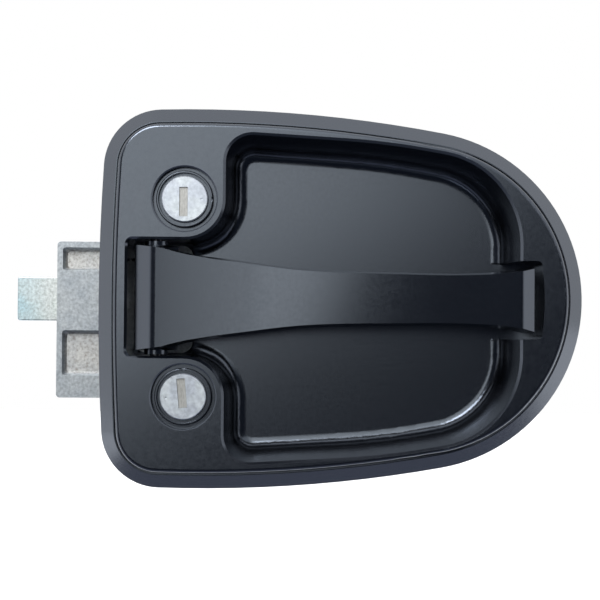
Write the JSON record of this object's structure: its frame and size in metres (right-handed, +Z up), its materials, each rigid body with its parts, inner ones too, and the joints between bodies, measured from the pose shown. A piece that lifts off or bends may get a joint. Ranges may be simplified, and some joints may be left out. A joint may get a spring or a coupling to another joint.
{
  "type": "trailer entry door lock",
  "caption": "Outer half of a trailer entry door lock: D-shaped black plate with finger pocket, bridge pull handle, key locks, spring latch and deadbolt.",
  "frame": {"origin": "centre of the four tapped posts, on the plane that the inner half bears on", "axes": "+Y into the door, away from the face; +Z up; +X along the face, away from the latch"},
  "size_m": [0.1596, 0.0519, 0.1046],
  "materials": {
    "black_coat": "satin black powder coat on a zinc die casting",
    "raw_zinc": "as-cast zinc, mottled, matt",
    "plated_bolt": "clear zinc plate on a casting",
    "zinc_plate": "zinc plated steel",
    "bright_steel": "bright drawn steel",
    "spring_steel": "spring steel, oiled",
    "satin_nickel": "satin nickel plate",
    "shutter_steel": "bright stamped steel",
    "brass": "stamped brass",
    "foam": "closed-cell foam rubber"
  },
  "bodies": {
    "root": {"outer_plate": "black_coat", "plate_gasket": "foam", "handle_pin": "bright_steel", "handle_spring": "spring_steel", "latch_housing": "raw_zinc", "housing_cover": "zinc_plate", "housing_screws": "zinc_plate", "cover_screws": "zinc_plate", "latch_spring": "spring_steel", "upper_lock_barrel": "black_coat", "lower_lock_barrel": "black_coat", "upper_lock_clip": "spring_steel", "lower_lock_clip": "spring_steel"},
    "handle": {"pull_handle": "black_coat"},
    "latch": {"latch_bolt": "plated_bolt"},
    "drive_slide": {"drive_slide": "raw_zinc"},
    "deadbolt": {"deadbolt": "plated_bolt"},
    "upper_plug": {"upper_lock_plug": "satin_nickel", "upper_lock_wafers": "brass", "upper_lock_cam": "zinc_plate", "upper_cam_screw": "zinc_plate"},
    "lower_plug": {"lower_lock_plug": "satin_nickel", "lower_lock_wafers": "brass", "lower_lock_cam": "zinc_plate", "lower_cam_screw": "zinc_plate"},
    "upper_shutter": {"upper_key_shutter": "shutter_steel"},
    "lower_shutter": {"lower_key_shutter": "shutter_steel"}
  },
  "joints": [
    {"name": "handle_pull", "type": "hinge", "parent": "root", "child": "handle", "pos_m": [-0.0505, -0.037, 0], "axis": [0, 0, -1], "range_deg": [0, 25], "stiffness_Nm_per_rad": 0.25, "springref_deg": -20.05, "deforming": ["handle_spring"]},
    {"name": "latch_retract", "type": "slide", "parent": "root", "child": "latch", "axis": [1, 0, 0], "range_m": [0, 0.01205], "deforming": ["latch_spring"]},
    {"name": "upper_lock_turn", "type": "hinge", "parent": "root", "child": "upper_plug", "pos_m": [-0.0427, -0.0136, 0.0268], "axis": [0, 1, 0], "range_deg": [0, 90]},
    {"name": "drive_slide_lift", "type": "slide", "parent": "latch", "child": "drive_slide", "axis": [0, 0, 1], "range_m": [0, 0.00778]},
    {"name": "lower_lock_turn", "type": "hinge", "parent": "root", "child": "lower_plug", "pos_m": [-0.0427, -0.0136, -0.0268], "axis": [0, -1, 0], "range_deg": [0, 90]},
    {"name": "deadbolt_throw", "type": "slide", "parent": "root", "child": "deadbolt", "axis": [-1, 0, 0], "range_m": [0, 0.01131]},
    {"name": "upper_shutter_swing", "type": "hinge", "parent": "upper_plug", "child": "upper_shutter", "pos_m": [-0.0445, -0.0409, 0.0268], "axis": [0, 0, 1], "range_deg": [0, 88], "stiffness_Nm_per_rad": 0.0002, "springref_deg": -28.65},
    {"name": "lower_shutter_swing", "type": "hinge", "parent": "lower_plug", "child": "lower_shutter", "pos_m": [-0.04439, -0.0409, -0.02695], "axis": [-0.0872, 0, 0.9962], "range_deg": [0, 88], "stiffness_Nm_per_rad": 0.0002, "springref_deg": -28.65}
  ],
  "couplings": [
    {"joint": "latch_retract", "follows": "handle_pull", "m_per_rad": 0.027507},
    {"joint": "upper_lock_turn", "follows": "drive_slide_lift", "rad_per_m": 201.95},
    {"joint": "lower_lock_turn", "follows": "deadbolt_throw", "rad_per_m": 138.84}
  ]
}
